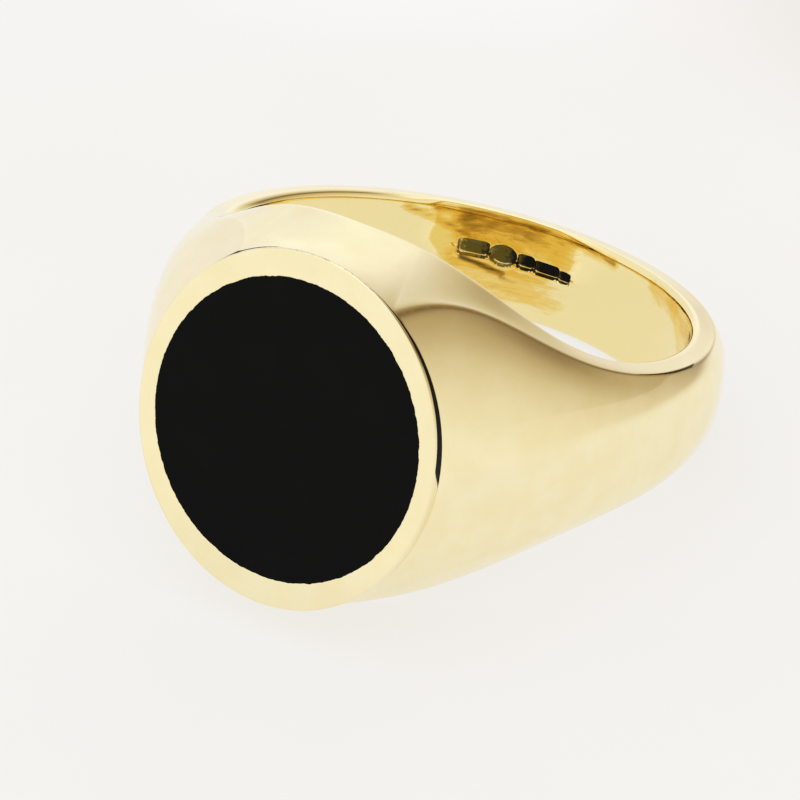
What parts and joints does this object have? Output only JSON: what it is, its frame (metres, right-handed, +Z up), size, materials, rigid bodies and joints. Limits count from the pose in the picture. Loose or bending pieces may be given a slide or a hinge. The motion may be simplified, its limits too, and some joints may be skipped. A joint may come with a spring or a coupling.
{
  "type": "signet ring",
  "caption": "Gold signet ring with an oval head, a flat black stone let in flush with a raised gold rim, and a tapering domed band.",
  "frame": {"origin": "middle of the ring's box, on the surface that the ring lies on", "axes": "+Z up as the ring lies on its side, -Y the way the stone faces, X across the ring; the ring is the same on both sides of X = 0"},
  "size_m": [0.0222, 0.0258, 0.0159],
  "materials": {
    "gold": null,
    "gold_rim": null,
    "black_stone": "polished flat black onyx",
    "cement": "matt setting cement"
  },
  "bodies": {
    "root": {"ring_body": "gold", "bezel_rim": "gold_rim", "onyx_stone": "black_stone", "cement_bed": "cement"}
  },
  "joints": []
}
